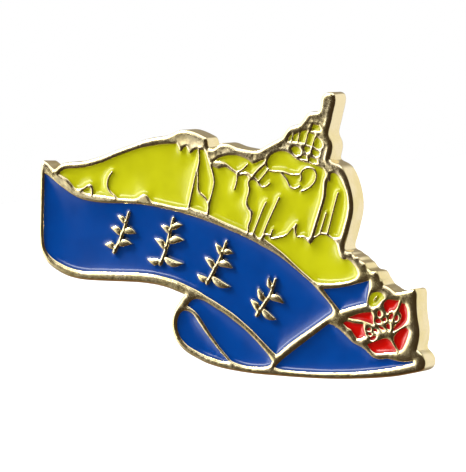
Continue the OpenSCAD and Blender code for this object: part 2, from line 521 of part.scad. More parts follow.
module blue_ribbon() { enamel(BLUE) ribbon_hollow(); }
module blue_fold_front() { enamel(BLUE) hollow(FOLD_FRONT); }
module blue_fold_back() { enamel(BLUE) hollow(FOLD_BACK); }
module blue_tail() { enamel(BLUE) hollow(TAIL); }
module blue_gap() { enamel(BLUE) hollow(GAP); }
module yellow_hill() { enamel(YELLOW) hollow(HILL, HILL_LINES); }
module yellow_chip() { enamel(YELLOW) hollow(CHIP); }
module yellow_wedge() { enamel(YELLOW) hollow(WEDGE); }
module yellow_leaf() { enamel(YELLOW) hollow(LEAF); }
module yellow_block() { enamel(YELLOW) hollow(BLOCK, BLOCK_LINES); }
module yellow_saddle() { enamel(YELLOW) hollow(SADDLE, SADDLE_LINES); }
module yellow_facet() { enamel(YELLOW) hollow(FACET); }
module yellow_rock() { enamel(YELLOW) hollow(ROCK, ROCK_LINES); }
module yellow_cliff() { enamel(YELLOW) hollow(CLIFF, CLIFF_LINES); }
module yellow_foot() { enamel(YELLOW) hollow(FOOT); }
module yellow_windows() { enamel(YELLOW) window_hollows(); }
module yellow_ring() { enamel(YELLOW) ring_hollow(); }
module red_petal_top() { enamel(RED) hollow(PETAL_TOP); }
module red_petal_right() { enamel(RED) hollow(PETAL_RIGHT); }
module red_petal_low_right() { enamel(RED) hollow(PETAL_LOW_RIGHT); }
module red_petal_bottom() { enamel(RED) hollow(PETAL_BOTTOM); }
module red_petal_low_left() { enamel(RED) hollow(PETAL_LOW_LEFT); }
module red_petal_left() { enamel(RED) hollow(PETAL_LEFT); }
module red_seeds() { enamel(RED) seed_hollows(); }

// ---------------------------------------------------------------- fastenings
// Fastenings are drawn with their axis along +Z and the back of the badge at
// z = 0, then turned so that the axis points along +Y.
module on_back(place, turn = 0) {
    translate([place[0], 0, place[1]]) rotate([-90, 0, 0]) rotate(turn) children();
}

post_r = post_d / 2;
bore_r = post_r + post_fit;
POINT_LEN = 1.7;
POINT_R = 0.12;
GROOVE_DEPTH = 0.12;
GROOVE_LEN = 0.5;
SOLDER_H = 1;
SOLDER_SPREAD = 0.75;

module post() {
    groove_z = post_len - POINT_LEN - 0.5 - GROOVE_LEN;
    color(GOLD) rotate_extrude($fn = 48) polygon([
        [0, 0], [post_head_d / 2, 0], [post_head_d / 2, post_head_t],
        [post_r, post_head_t], [post_r, groove_z],
        [post_r - GROOVE_DEPTH, groove_z + 0.15],
        [post_r - GROOVE_DEPTH, groove_z + GROOVE_LEN - 0.15],
        [post_r, groove_z + GROOVE_LEN], [post_r, post_len - POINT_LEN],
        [POINT_R, post_len - 0.08], [0, post_len]
    ]);
}

module solder() {
    head_r = post_head_d / 2;
    color(STEEL) rotate_extrude($fn = 48) polygon([
        [head_r, 0], [head_r + SOLDER_SPREAD, 0],
        [head_r + SOLDER_SPREAD * 0.55, 0.1], [head_r + SOLDER_SPREAD * 0.2, 0.26],
        [head_r - 0.12, post_head_t + 0.14], [post_r + 0.2, 0.7],
        [post_r, SOLDER_H], [post_r, post_head_t], [head_r, post_head_t]
    ]);
}

// Heights of the clutch parts above the back of the badge
disc_z = cloth_t;
disc_top = disc_z + sheet_t;
CAGE_H = 2.6;
cage_top = disc_top + CAGE_H;
NIPPLE_H = 1.1;
NIPPLE_WALL = 0.35;
// Half distance between the cheeks of the cage, and their reach along X
cheek_in = 2.3;
CHEEK_X = 3.2;
// Hinge of a wing
HINGE_X = 2.6;
HINGE_R = 0.45;
TRUNNION_R = 0.26;
TRUNNION_FIT = 0.04;
hinge_z = disc_top + 1.75;
// A wing leans outward by this angle from the axis
LEAN = 30;

// Stamped disc: a turned-up rim, a funnel round the hole and six teats that
// bite into the cloth
module clutch_disc() {
    rim = clutch_d / 2;
    color(BRASS) difference() {
        union() {
            rotate_extrude($fn = 96) polygon([
                [0, disc_z], [rim - 0.55, disc_z], [rim - 0.12, disc_z + 0.18],
                [rim, disc_z + 0.5], [rim - 0.18, disc_z + 0.62],
                [rim - 0.5, disc_top + 0.1], [rim - 0.75, disc_top], [0, disc_top]
            ]);
            for (a = [30:60:330]) rotate(a) translate([rim * 0.72, 0, disc_z - 0.3])
                cylinder(h = 0.5, r = 0.4, $fn = 24);
        }
        translate([0, 0, disc_z - 0.1]) cylinder(h = sheet_t + 0.2, r = bore_r, $fn = 48);
        translate([0, 0, disc_z - 0.01])
            cylinder(h = 0.2, r1 = bore_r + 0.35, r2 = bore_r, $fn = 48);
    }
}

// Cage: two cheeks that carry the wings, and a bridge with a nipple
module clutch_cage() {
    color(BRASS) difference() {
        union() {
            for (s = [-1, 1])
                translate([0, s * (cheek_in + sheet_t / 2) + sheet_t / 2, disc_top])
                    rotate([90, 0, 0]) linear_extrude(sheet_t) polygon([
                        [-CHEEK_X, 0], [CHEEK_X, 0], [CHEEK_X, hinge_z - disc_top + 0.35],
                        [CHEEK_X - 0.35, CAGE_H - 0.3], [1.4, CAGE_H],
                        [-1.4, CAGE_H], [-CHEEK_X + 0.35, CAGE_H - 0.3],
                        [-CHEEK_X, hinge_z - disc_top + 0.35]
                    ]);
            translate([-1.4, -cheek_in, cage_top - sheet_t])
                cube([2.8, 2 * cheek_in, sheet_t]);
            translate([0, 0, cage_top - sheet_t])
                cylinder(h = sheet_t + NIPPLE_H, r = bore_r + NIPPLE_WALL, $fn = 48);
        }
        translate([0, 0, cage_top - sheet_t - 0.1])
            cylinder(h = sheet_t + NIPPLE_H + 0.2, r = bore_r, $fn = 48);
        for (x = [-HINGE_X, HINGE_X])
            translate([x, cheek_in + sheet_t + 0.1, hinge_z]) rotate([90, 0, 0])
                cylinder(h = 2 * (cheek_in + sheet_t + 0.1), r = TRUNNION_R + TRUNNION_FIT, $fn = 32);
    }
}

// Hairpin of spring wire that lies on the disc and grips the post between its legs
module spring() {
    r = wire_d / 2;
    leg_x = bore_r + r;
    bend_y = -(cheek_in - 0.1 - r - leg_x);
    color(STEEL) translate([0, 0, disc_top + r]) union() {
        for (s = [-1, 1]) translate([s * leg_x, bend_y, 0]) rotate([-90, 0, 0])
            cylinder(h = cheek_in - 0.1 - bend_y, r = r, $fn = 24);
        translate([0, bend_y, 0]) rotate(180)
            rotate_extrude(angle = 180, $fn = 48) translate([leg_x, 0]) circle(r = r, $fn = 24);
    }
}

// Wing on the +X side: a knuckle with two trunnions, a foot beside the spring
// and a leaning blade that the fingers squeeze
module wing() {
    neck_w = 2 * cheek_in - 0.3;
    neck_l = 1.6;
    color(BRASS) translate([HINGE_X, 0, hinge_z]) union() {
        translate([0, neck_w / 2, 0]) rotate([90, 0, 0]) cylinder(h = neck_w, r = HINGE_R, $fn = 32);
        translate([0, cheek_in + sheet_t + 0.05, 0]) rotate([90, 0, 0])
            cylinder(h = 2 * (cheek_in + sheet_t + 0.05), r = TRUNNION_R, $fn = 32);
        rotate([0, LEAN, 0]) translate([sheet_t / 2, 0, 0]) rotate([0, -90, 0])
            linear_extrude(sheet_t) offset(r = 0.5, $fn = 24) offset(delta = -0.5) polygon([
                [-0.2, -neck_w / 2], [neck_l, -neck_w / 2], [neck_l + 0.7, -wing_w / 2],
                [wing_len, -wing_w / 2 + 0.3], [wing_len, wing_w / 2 - 0.3],
                [neck_l + 0.7, wing_w / 2], [neck_l, neck_w / 2], [-0.2, neck_w / 2]
            ]);
        rotate([0, 222, 0]) translate([-sheet_t / 2, -neck_w / 2 + 0.6, 0])
            cube([sheet_t, neck_w - 1.2, 1.3]);
    }
}

module left_post() { on_back(LEFT_POST) post(); }
module left_solder() { on_back(LEFT_POST) solder(); }
module left_clutch_disc() { on_back(LEFT_POST, LEFT_TURN) clutch_disc(); }
module left_clutch_cage() { on_back(LEFT_POST, LEFT_TURN) clutch_cage(); }
module left_spring() { on_back(LEFT_POST, LEFT_TURN) spring(); }
module left_wing_a() { on_back(LEFT_POST, LEFT_TURN) wing(); }
module left_wing_b() { on_back(LEFT_POST, LEFT_TURN + 180) wing(); }
module right_post() { on_back(RIGHT_POST) post(); }
module right_solder() { on_back(RIGHT_POST) solder(); }
module right_clutch_disc() { on_back(RIGHT_POST, RIGHT_TURN) clutch_disc(); }
module right_clutch_cage() { on_back(RIGHT_POST, RIGHT_TURN) clutch_cage(); }
module right_spring() { on_back(RIGHT_POST, RIGHT_TURN) spring(); }
module right_wing_a() { on_back(RIGHT_POST, RIGHT_TURN) wing(); }
module right_wing_b() { on_back(RIGHT_POST, RIGHT_TURN + 180) wing(); }

badge_body();
blue_ribbon();
blue_fold_front();
blue_fold_back();
blue_tail();
blue_gap();
yellow_hill();
yellow_chip();
yellow_wedge();
yellow_leaf();
yellow_block();
yellow_saddle();
yellow_facet();
yellow_rock();
yellow_cliff();
yellow_foot();
yellow_windows();
yellow_ring();
red_petal_top();
red_petal_right();
red_petal_low_right();
red_petal_bottom();
red_petal_low_left();
red_petal_left();
red_seeds();
left_post();
left_solder();
left_clutch_disc();
left_clutch_cage();
left_spring();
left_wing_a();
left_wing_b();
right_post();
right_solder();
right_clutch_disc();
right_clutch_cage();
right_spring();
right_wing_a();
right_wing_b();
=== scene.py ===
import math

import bmesh
import bpy
import numpy as np
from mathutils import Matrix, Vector
from mathutils.bvhtree import BVHTree
from mathutils.geometry import delaunay_2d_cdt
from mathutils.kdtree import KDTree


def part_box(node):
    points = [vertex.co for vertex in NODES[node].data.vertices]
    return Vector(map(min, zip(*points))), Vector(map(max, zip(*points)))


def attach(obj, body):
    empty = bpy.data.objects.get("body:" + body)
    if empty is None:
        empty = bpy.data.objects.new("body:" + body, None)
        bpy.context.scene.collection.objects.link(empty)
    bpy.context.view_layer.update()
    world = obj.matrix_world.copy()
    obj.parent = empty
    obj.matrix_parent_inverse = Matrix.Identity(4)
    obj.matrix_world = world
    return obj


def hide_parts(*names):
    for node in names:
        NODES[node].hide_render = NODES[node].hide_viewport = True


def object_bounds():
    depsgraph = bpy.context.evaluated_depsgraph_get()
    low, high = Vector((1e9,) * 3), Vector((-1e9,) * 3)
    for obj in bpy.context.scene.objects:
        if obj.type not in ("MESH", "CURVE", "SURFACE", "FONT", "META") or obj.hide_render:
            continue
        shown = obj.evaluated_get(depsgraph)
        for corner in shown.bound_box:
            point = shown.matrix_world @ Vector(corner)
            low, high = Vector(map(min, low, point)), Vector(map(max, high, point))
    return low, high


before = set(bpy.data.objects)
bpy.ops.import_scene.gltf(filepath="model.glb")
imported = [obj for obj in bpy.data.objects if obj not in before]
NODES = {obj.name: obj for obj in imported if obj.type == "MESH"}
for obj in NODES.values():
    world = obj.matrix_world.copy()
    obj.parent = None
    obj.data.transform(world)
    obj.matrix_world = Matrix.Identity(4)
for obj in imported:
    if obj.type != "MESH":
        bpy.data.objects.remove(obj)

CAD_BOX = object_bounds()
MM = 0.001

# ---- camera ------------------------------------------------------------------------------------
CAMERA_AZIMUTH = 34
CAMERA_ELEVATION = 5
CAMERA_DISTANCE = 300
CAMERA_TARGET = Vector((0.9, CAD_BOX[0].y / MM, -0.35))
CAMERA_LENS = 264.3
CAMERA_CLIP = (0.005, 20)    # metres


def direction(azimuth, elevation):
    """Unit vector from the object towards a place round it; azimuth 0 is in front, 90 at the right."""
    a, e = math.radians(azimuth), math.radians(elevation)
    return Vector((math.sin(a) * math.cos(e), -math.cos(a) * math.cos(e), math.sin(e)))


def make_camera():
    data = bpy.data.cameras.new("camera")
    data.lens = CAMERA_LENS
    data.clip_start, data.clip_end = CAMERA_CLIP
    cam = bpy.data.objects.new("camera", data)
    bpy.context.collection.objects.link(cam)
    back = direction(CAMERA_AZIMUTH, CAMERA_ELEVATION)
    cam.location = (CAMERA_TARGET + back * CAMERA_DISTANCE) * MM
    cam.rotation_mode = "QUATERNION"
    cam.rotation_quaternion = (-back).to_track_quat("-Z", "Y")
    bpy.context.scene.camera = cam


# ---- small node-tree builder ---------------------------------------------------------------
class Tree:
    """Adds nodes to a node tree; an input is set from a value or linked from a socket."""

    def __init__(self, tree):
        self.tree = tree
        tree.nodes.clear()

    def add(self, kind, out=0, props=None, **inputs):
        node = self.tree.nodes.new(kind)
        for key, value in (props or {}).items():
            setattr(node, key, value)
        for key, value in inputs.items():
            name = key.replace("_", " ")
            socket = node.inputs[int(key[1:])] if key[1:].isdigit() else node.inputs[name]
            if isinstance(value, bpy.types.NodeSocket):
                self.tree.links.new(value, socket)
            else:
                socket.default_value = value
        return node.outputs[out] if node.outputs else node

    def math(self, op, a, b=0.0, c=0.0):
        return self.add("ShaderNodeMath", props={"operation": op}, i0=a, i1=b, i2=c)

    def ramp(self, value, low, high, to_low=0.0, to_high=1.0):
        return self.add("ShaderNodeMapRange", props={"interpolation_type": "SMOOTHSTEP"},
                        Value=value, From_Min=low, From_Max=high, To_Min=to_low, To_Max=to_high)

    def mix(self, factor, a, b):
        node = self.tree.nodes.new("ShaderNodeMix")
        node.data_type = "RGBA"
        for socket, value in ((node.inputs[0], factor), (node.inputs[6], a), (node.inputs[7], b)):
            if isinstance(value, bpy.types.NodeSocket):
                self.tree.links.new(value, socket)
            else:
                socket.default_value = value
        return node.outputs[2]

    def place(self):
        """Position on the object at rest, in millimetres."""
        co = self.add("ShaderNodeTexCoord", out=3)
        return self.add("ShaderNodeMapping", Vector=co, Scale=(1000, 1000, 1000))

    def noise(self, place, per_mm, detail=3.0, rough=0.5):
        return self.add("ShaderNodeTexNoise", Vector=place, Scale=per_mm, Detail=detail, Roughness=rough)

    def attribute(self, name):
        return self.add("ShaderNodeAttribute", out=2, props={"attribute_name": name})

    def surface(self, **inputs):
        """The material's shader, joined to its output."""
        shader = self.add("ShaderNodeBsdfPrincipled", **inputs)
        self.add("ShaderNodeOutputMaterial", Surface=shader)


def shaded(name):
    mat = bpy.data.materials.new(name)
    mat.use_nodes = True
    return mat, Tree(mat.node_tree)


# ---- studio ----------------------------------------------------------------------------------
FLOOR_DROP = 60
FLOOR = (600, -90, 1500)     # half width, front and back edge
FLOOR_GLOW = 0.35
LAMP = (-62, 42)             # azimuth and elevation
LAMP_DISTANCE, LAMP_SIZE = 0.45, (0.10, 0.14)    # metres
LAMP_POWER = 2.2
# Panels of the studio: azimuth, elevation, half angle, softness of the edge, colour
PANELS = (
    (146, 4, 42, 9, (0.98, 0.94, 0.86, 1)),   # behind at the right, for the side walls
    (0, -90, 48, 10, (0.24, 0.13, 0.06, 1)),  # brown table top
    (-50, 62, 36, 8, (1.3, 1.27, 1.2, 1)),    # overhead, towards the left
    (180, 88, 26, 6, (2.0, 2.0, 2.0, 1)),     # ceiling
    (-80, 14, 40, 5, (1.6, 1.55, 1.42, 1)),   # main panel at the left
)
ROOM = (0.34, 0.3, 0.24, 1)
# A dark opening in front, at the right and below
OPENING = (40, -20)
OPENING_SIZE = (77, 4)
OPENING_COLOUR = (0.045, 0.03, 0.016, 1)
# A narrow bright arc beside it: part of a ring, cut by the opening and by the end of its span
RING = (-34, -5)
RING_INNER, RING_OUTER = (20, 1), (24, 1)
RING_SPAN = (-47, 14, 27, 6)
RING_COLOUR = (6.5, 6.4, 6.1, 1)


def make_world():
    """The studio that the pin reflects; the camera itself sees plain white."""
    world = bpy.data.worlds.new("studio")
    bpy.context.scene.world = world
    world.use_nodes = True
    t = Tree(world.node_tree)
    way = t.add("ShaderNodeTexCoord", out=0)

    def cone(azimuth, elevation, half, soft):
        dot = t.add("ShaderNodeVectorMath", out=1, props={"operation": "DOT_PRODUCT"},
                    i0=way, i1=direction(azimuth, elevation))
        return t.ramp(dot, math.cos(math.radians(half + soft)), math.cos(math.radians(half - soft)))

    room = ROOM
    for *where, colour in PANELS:
        room = t.mix(cone(*where), room, colour)
    ring = t.math("SUBTRACT", cone(*RING, *RING_OUTER), cone(*RING, *RING_INNER))
    room = t.mix(t.math("MULTIPLY", ring, cone(*RING_SPAN)), room, RING_COLOUR)
    room = t.mix(cone(*OPENING, *OPENING_SIZE), room, OPENING_COLOUR)
    seen = t.add("ShaderNodeLightPath", out=0)
    background = t.add("ShaderNodeBackground", Color=t.mix(seen, room, (1, 1, 1, 1)))
    t.add("ShaderNodeOutputWorld", Surface=background)


def make_floor():
    """A sheet of white board under and behind the pin."""
    half, front, back = (c * MM for c in FLOOR)
    mesh = bpy.data.meshes.new("floor")
    corners = [(-half, front, 0), (half, front, 0), (half, back, 0), (-half, back, 0)]
    mesh.from_pydata(corners, [], [(0, 1, 2, 3)])
    floor = bpy.data.objects.new("floor", mesh)
    floor.location.z = CAD_BOX[0].z - FLOOR_DROP * MM
    bpy.context.collection.objects.link(floor)
    mat, t = shaded("floor_white")
    white = t.mix(t.noise(t.place(), 0.02), (0.96, 0.96, 0.96, 1), (1, 1, 1, 1))
    t.surface(Base_Color=white, Roughness=0.9, Emission_Color=(1, 1, 1, 1), Emission_Strength=FLOOR_GLOW)
    mesh.materials.append(mat)
    floor.visible_glossy = False


def make_lights():
    """One soft lamp at the upper left front, which gives the enamel its highlights."""
    data = bpy.data.lights.new("key", "AREA")
    data.shape = "RECTANGLE"
    data.size, data.size_y = LAMP_SIZE
    data.energy = LAMP_POWER
    lamp = bpy.data.objects.new("key", data)
    way = direction(*LAMP)
    lamp.location = way * LAMP_DISTANCE
    lamp.rotation_mode = "QUATERNION"
    lamp.rotation_quaternion = way.to_track_quat("Z", "Y")
    lamp.visible_camera = False
    bpy.context.collection.objects.link(lamp)


# ---- outlines, in millimetres on the plane of the face ----------------------------------------
CORNER = math.radians(38)
LINE_STEP = 0.14
FINE_STEP = 0.02
SHORTEST_EDGE = 0.03
MITRE = 0.55                 # least cosine that a corner's normal is lengthened by


def pairs(items):
    """Each item with the next one round."""
    return zip(items, items[1:] + items[:1])


def cad_loops(node, y):
    """Closed outlines of a node's flat face at depth y, with the metal at their left."""
    mesh = NODES[node].data
    co = np.array([v.co for v in mesh.vertices]) / MM
    spots = [tuple(k) for k in np.round(co[:, (0, 2)], 3)]
    edges = set()
    for poly in mesh.polygons:
        ids = list(poly.vertices)
        if poly.normal.y > -0.99 or np.abs(co[ids, 1] - y).max() > 1e-3:
            continue
        for a, b in pairs(ids):
            a, b = spots[a], spots[b]
            if (b, a) in edges:
                edges.remove((b, a))
            elif a != b:
                edges.add((a, b))
    after = {}
    for a, b in sorted(edges):
        after.setdefault(a, []).append(b)
    loops = []
    while after:
        start = here = next(iter(after))
        loop = []
        while here in after:
            loop.append(here)
            onward = after[here].pop()
            if not after[here]:
                del after[here]
            here = onward
            if here == start:
                break
        loops.append(np.array(loop))
    return loops


def turning(loop):
    """Angle that the loop turns by at each point."""
    before = loop - np.roll(loop, 1, 0)
    after = np.roll(loop, -1, 0) - loop
    cross = before[:, 0] * after[:, 1] - before[:, 1] * after[:, 0]
    return np.arctan2(cross, (before * after).sum(1))


def catmull(p, fraction):
    """Point in the middle span of four control points, centripetal."""
    t = [0.0]
    for a, b in zip(p, p[1:]):
        t.append(t[-1] + max(float(np.linalg.norm(b - a)), 1e-6) ** 0.5)
    u = t[1] + (t[2] - t[1]) * fraction

    def between(a, b, i, j):
        return ((t[j] - u) * a + (u - t[i]) * b) / (t[j] - t[i])

    a = [between(p[i], p[i + 1], i, i + 1) for i in range(3)]
    b = [between(a[i], a[i + 1], i, i + 2) for i in range(2)]
    return between(b[0], b[1], 1, 2)


def smooth_loop(loop):
    """The loop rounded between its corners: its points, and which of them are corners."""
    gap = np.linalg.norm(loop - np.roll(loop, 1, 0), axis=1)
    loop = loop[gap > SHORTEST_EDGE]
    corner = np.abs(turning(loop)) > CORNER
    n = len(loop)
    out, sharp = [], []
    for i in range(n):
        p = [loop[(i + j) % n] for j in (-1, 0, 1, 2)]
        if corner[i]:
            p[0] = 2 * p[1] - p[2]
        if corner[(i + 1) % n]:
            p[3] = 2 * p[2] - p[1]
        steps = max(1, round(float(np.linalg.norm(p[2] - p[1])) / LINE_STEP))
        for s in range(steps):
            out.append(catmull(p, s / steps))
            sharp.append(bool(s == 0 and corner[i]))
    return np.array(out), np.array(sharp)


def area(loop):
    """Area inside a loop, negative round a hollow."""
    x, z = loop[:, 0], loop[:, 1]
    return float((x * np.roll(z, -1) - np.roll(x, -1) * z).sum() / 2)


def left_normals(loop):
    """Unit normals at the left of each point, longer at corners so that offsets stay parallel."""
    before = loop - np.roll(loop, 1, 0)
    after = np.roll(loop, -1, 0) - loop
    before /= np.linalg.norm(before, axis=1)[:, None]
    after /= np.linalg.norm(after, axis=1)[:, None]
    middle = before + after
    n = np.stack([-middle[:, 1], middle[:, 0]], 1)
    n /= np.maximum(np.linalg.norm(n, axis=1), 1e-9)[:, None]
    lean = (n * np.stack([-after[:, 1], after[:, 0]], 1)).sum(1)
    return n / np.clip(lean, MITRE, 1)[:, None]


class Distance:
    """Distance from any point to a set of loops, and the left normal at the nearest place."""

    def __init__(self, loops):
        points, normals = [], []
        for loop in loops:
            here, there = left_normals(loop), np.roll(left_normals(loop), -1, 0)
            for a, b, na, nb in zip(loop, np.roll(loop, -1, 0), here, there):
                count = max(1, int(np.linalg.norm(b - a) / FINE_STEP))
                s = (np.arange(count) / count)[:, None]
                points.append(a + (b - a) * s)
                normals.append(na + (nb - na) * s)
        points = np.concatenate(points)
        self.normals = np.concatenate(normals)
        self.tree = KDTree(len(points))
        for i, p in enumerate(points):
            self.tree.insert((p[0], p[1], 0), i)
        self.tree.balance()

    def __call__(self, points):
        found = [self.tree.find((p[0], p[1], 0)) for p in points]
        return np.array([f[2] for f in found]), self.normals[[f[1] for f in found]]


# ---- the face, split into metal and hollows ----------------------------------------------------
RINGS = (0.025, 0.06, 0.1, 0.18, 0.3, 0.48, 0.75)
RING_KEEP = 0.96             # a ring's point stays when it keeps this share of its distance
RING_SLACK = 0.003
RING_CELL = 0.04             # least spacing of a ring's points
GRID_STEP = 0.5
GRID_ROW = 0.866             # spacing of the rows, as a share of the step
GRID_MARGIN = 0.2            # between the widest ring and the grid
MERGE = 1e-5


def thin(points, cell):
    """One point for each cell of a square grid."""
    _, keep = np.unique(np.round(points / cell).astype(int), axis=0, return_index=True)
    return points[np.sort(keep)]


def fan(loop, i, side, d):
    """Points round the outside of a corner at distance d."""
    back, on = loop[i] - loop[i - 1], loop[(i + 1) % len(loop)] - loop[i]
    a0, a1 = math.atan2(back[1], back[0]), math.atan2(on[1], on[0])
    bend = (a1 - a0 + math.pi) % (2 * math.pi) - math.pi
    if bend * side > 0:
        return []
    turn = [a0 + bend * f + math.pi / 2 * side for f in (0, 0.25, 0.75, 1)]
    return [loop[i] + d * np.array([math.cos(a), math.sin(a)]) for a in turn]


def ring_points(loops, corners, distance):
    """Points at both sides of the loops that keep their distance from every loop."""
    out = []
    for d in RINGS:
        for side in (1, -1):
            found = [loop + left_normals(loop) * d * side for loop in loops]
            for loop, sharp in zip(loops, corners):
                for i in np.flatnonzero(sharp):
                    found.extend(p[None] for p in fan(loop, i, side, d))
            found = thin(np.concatenate(found), max(RING_CELL, 0.5 * d))
            room, _ = distance(found)
            out.append(found[room > RING_KEEP * d - RING_SLACK])
    return out


def grid_points(loops, distance):
    """A triangular grid in the open areas."""
    lo, hi = np.concatenate(loops).min(0), np.concatenate(loops).max(0)
    rows = np.arange(lo[1], hi[1], GRID_STEP * GRID_ROW)
    columns = np.arange(lo[0], hi[0], GRID_STEP)
    grid = np.array([(x + (i % 2) * GRID_STEP / 2, z) for i, z in enumerate(rows) for x in columns])
    room, _ = distance(grid)
    return grid[room > RINGS[-1] + GRID_MARGIN]


def spot(p):
    """Name of a vertex's place, the same for every triangulation of the loops."""
    return round(float(p[0]), 4), round(float(p[1]), 4)


class Group:
    """Joins items into groups."""

    def __init__(self, count):
        self.up = list(range(count))

    def root(self, i):
        while self.up[i] != i:
            self.up[i] = self.up[self.up[i]]
            i = self.up[i]
        return i

    def join(self, a, b):
        self.up[self.root(a)] = self.root(b)


class Face:
    """The badge's front: its loops, and the triangles of each area between them."""

    def __init__(self, fills):
        lo, hi = (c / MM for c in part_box("badge_body"))
        self.front, self.back = lo.y, hi.y
        rounded = [smooth_loop(loop) for loop in cad_loops("badge_body", self.front)]
        rounded.sort(key=lambda r: -np.ptp(r[0][:, 0]))
        self.loops, self.corners = [r[0] for r in rounded], [r[1] for r in rounded]
        self.to_edge = Distance(self.loops[:1])
        self.to_hollow = Distance(self.loops[1:])
        self.to_any = Distance(self.loops)
        islands = [loop for loop in self.loops[1:] if area(loop) > 0]
        self.to_wall = Distance([loop for loop in self.loops if area(loop) < 0])
        self.to_island = Distance(islands)
        self.solid = {name: self.search_tree(name) for name in ["badge_body"] + fills}

    @staticmethod
    def search_tree(node):
        mesh = NODES[node].data
        verts = [v.co / MM for v in mesh.vertices]
        return BVHTree.FromPolygons(verts, [list(p.vertices) for p in mesh.polygons])

    def what(self, x, z):
        """The node that shows at a place, or None outside the badge."""
        start = Vector((x, self.front - 1, z))
        hits = []
        for name, tree in self.solid.items():
            at = tree.ray_cast(start, Vector((0, 1, 0)))[0]
            if at is not None:
                hits.append((at.y, name))
        return min(hits)[1] if hits else None

    def split(self, points):
        """Triangulates the loops with more points: the vertices, and each node's triangles."""
        edges, start = [], 0
        for loop in self.loops:
            ids = range(start, start + len(loop))
            edges += [(i, i + 1) for i in ids[:-1]] + [(ids[-1], start)]
            start += len(loop)
        everything = [Vector(p) for p in np.concatenate(self.loops + points)]
        verts, lines, faces, _, source, _ = delaunay_2d_cdt(everything, edges, [], 0, MERGE, True)
        verts = np.array([tuple(v) for v in verts])
        fences = {tuple(sorted(line)) for line, origin in zip(lines, source) if origin}
        group, beside = Group(len(faces)), {}
        for i, face in enumerate(faces):
            for a, b in pairs(face):
                edge = (min(a, b), max(a, b))
                if edge in fences:
                    continue
                if edge in beside:
                    group.join(i, beside[edge])
                beside[edge] = i
        areas = {}
        for i in range(len(faces)):
            areas.setdefault(group.root(i), []).append(i)
        parts = {}
        for members in areas.values():
            tri = verts[np.array([faces[i] for i in members])]
            a, b = tri[:, 1] - tri[:, 0], tri[:, 2] - tri[:, 0]
            size = np.abs(a[:, 0] * b[:, 1] - a[:, 1] * b[:, 0])
            votes = [self.what(*tri[i].mean(0)) for i in np.argsort(-size)[:5]]
            winner = max(sorted(set(votes), key=str), key=votes.count)
            parts.setdefault(winner, []).extend(faces[i] for i in members)
        return verts, parts


class Sheet:
    """Collects vertices by name, and faces between them."""

    def __init__(self):
        self.verts, self.faces, self.at, self.facts = [], [], {}, {}

    def vertex(self, tag, co, **facts):
        if tag not in self.at:
            self.at[tag] = len(self.verts)
            self.verts.append(tuple(float(c) * MM for c in co))
            for name, value in facts.items():
                self.facts.setdefault(name, {})[self.at[tag]] = float(value)
        return self.at[tag]

    def face(self, *tags):
        self.faces.append([self.at[t] for t in tags])

    def object(self, name, body, sharp=50):
        mesh = bpy.data.meshes.new(name)
        mesh.from_pydata(self.verts, [], self.faces)
        mesh.polygons.foreach_set("use_smooth", [True] * len(mesh.polygons))
        mesh.set_sharp_from_angle(angle=math.radians(sharp))
        for fact, values in self.facts.items():
            layer = mesh.attributes.new(fact, "FLOAT", "POINT")
            layer.data.foreach_set("value", [values.get(i, 0.0) for i in range(len(self.verts))])
        obj = bpy.data.objects.new(name, mesh)
        bpy.context.collection.objects.link(obj)
        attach(obj, body)
        return obj


# ---- casting and enamel ------------------------------------------------------------------------
EDGE_ROUND = 0.2      # rounding of the badge's outer edge
LINE_ROUND = 0.06     # rounding of the edges of the raised lines
CROWN = 0.10          # how far the metal falls from its flat areas to its edges
CROWN_REACH = 0.5
BACK_ROUND = 0.15     # rounding of the edge of the back
BACK_WEAR = 0.18      # how far corners are worn away at the back
MENISCUS = 0.065      # how far the enamel climbs its walls
MENISCUS_REACH = 0.3
ISLAND_REACH = 0.14   # the same round raised details
SAG = 0.17            # how much lower the enamel lies in the middle of a wide hollow
SAG_REACH = 0.9
SAND_DROP = 0.09      # how much lower the sand-textured metal lies
SAND_FROM_EDGE = (0.4, 0.62)     # where the sand starts and where it is full
SAND_FROM_HOLLOW = (0.24, 0.42)
SAND_HEIGHT = (-3, 0)
SIDE_STEPS = 5
ARC_STEPS = 3


def fillet(d, r):
    """Depth of a rounded edge of radius r at distance d from its wall."""
    inside = np.clip(d / r, 0, 1)
    return r * (1 - np.sqrt(1 - (1 - inside) ** 2))


def step(value, low, high):
    """Smooth rise from 0 to 1 between two values."""
    f = np.clip((value - low) / (high - low), 0, 1)
    return f * f * (3 - 2 * f)


def softened(loop, reach):
    """The loop with its corners worn away over a length of about reach."""
    spacing = np.linalg.norm(np.roll(loop, -1, 0) - loop, axis=1)
    along, total = np.concatenate([[0], np.cumsum(spacing)[:-1]]), spacing.sum()
    gap = np.abs(along[:, None] - along[None])
    gap = np.minimum(gap, total - gap)
    weight = np.exp(-0.5 * (gap / reach) ** 2) * ((spacing + np.roll(spacing, 1)) / 2)[None]
    return weight @ loop / weight.sum(1)[:, None]


def side_column(i, verts):
    """Names of the vertices below outline point i, from the face to the back."""
    return ([("top", i)] + [("side", k, i) for k in range(1, SIDE_STEPS + 1)]
            + [("arc", k, i) for k in range(1, ARC_STEPS)] + [("back", spot(verts[i]))])


